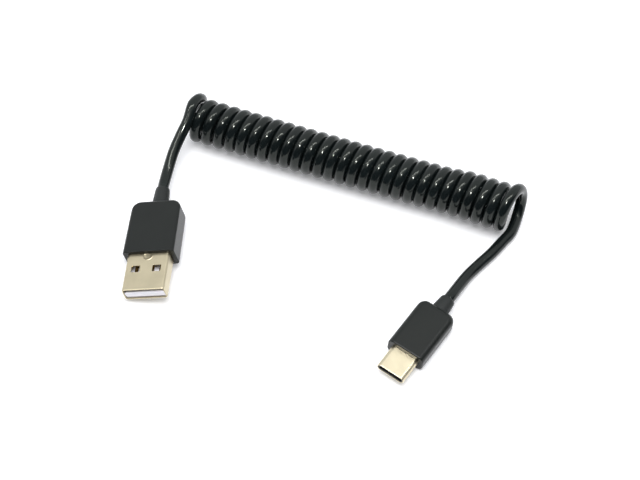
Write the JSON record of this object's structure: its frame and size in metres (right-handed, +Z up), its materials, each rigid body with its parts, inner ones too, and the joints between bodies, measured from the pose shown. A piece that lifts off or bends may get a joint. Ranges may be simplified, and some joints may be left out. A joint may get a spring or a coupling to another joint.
{
  "type": "coiled charging cable",
  "caption": "Curly black charging cord wound in a tight coil, with a flat rectangular plug on one end and a small oval plug on the other, both with moulded housings.",
  "frame": {"origin": "middle of the two plugs' common outline, on the floor that the cable lies on", "axes": "+Z up, +X from the wide plug to the small plug, +Y from the plugs towards the coil"},
  "size_m": [0.1117, 0.0929, 0.0146],
  "materials": {
    "housing_plastic": "satin black moulding",
    "boot_rubber": "soft satin black",
    "nickel_shell": "warm nickel plate, smooth",
    "white_insulator": "white moulding",
    "black_insulator": "black moulding",
    "gold_contacts": "gold plate",
    "cord_jacket": "glossy black jacket"
  },
  "bodies": {
    "root": {"usb_a_housing": "housing_plastic", "usb_a_shell": "nickel_shell", "usb_a_insulator": "white_insulator", "usb_a_contact_1": "gold_contacts", "usb_a_contact_2": "gold_contacts", "usb_a_contact_3": "gold_contacts", "usb_a_contact_4": "gold_contacts", "usb_a_strain_relief": "boot_rubber", "usb_c_housing": "housing_plastic", "usb_c_shell": "nickel_shell", "usb_c_insulator": "black_insulator", "usb_c_contact_upper_1": "gold_contacts", "usb_c_contact_upper_4": "gold_contacts", "usb_c_contact_upper_5": "gold_contacts", "usb_c_contact_upper_6": "gold_contacts", "usb_c_contact_upper_7": "gold_contacts", "usb_c_contact_upper_9": "gold_contacts", "usb_c_contact_upper_12": "gold_contacts", "usb_c_contact_lower_1": "gold_contacts", "usb_c_contact_lower_4": "gold_contacts", "usb_c_contact_lower_9": "gold_contacts", "usb_c_contact_lower_12": "gold_contacts", "usb_c_strain_relief": "boot_rubber", "lead_a": "cord_jacket", "coil": "cord_jacket", "lead_c": "cord_jacket"}
  },
  "joints": []
}
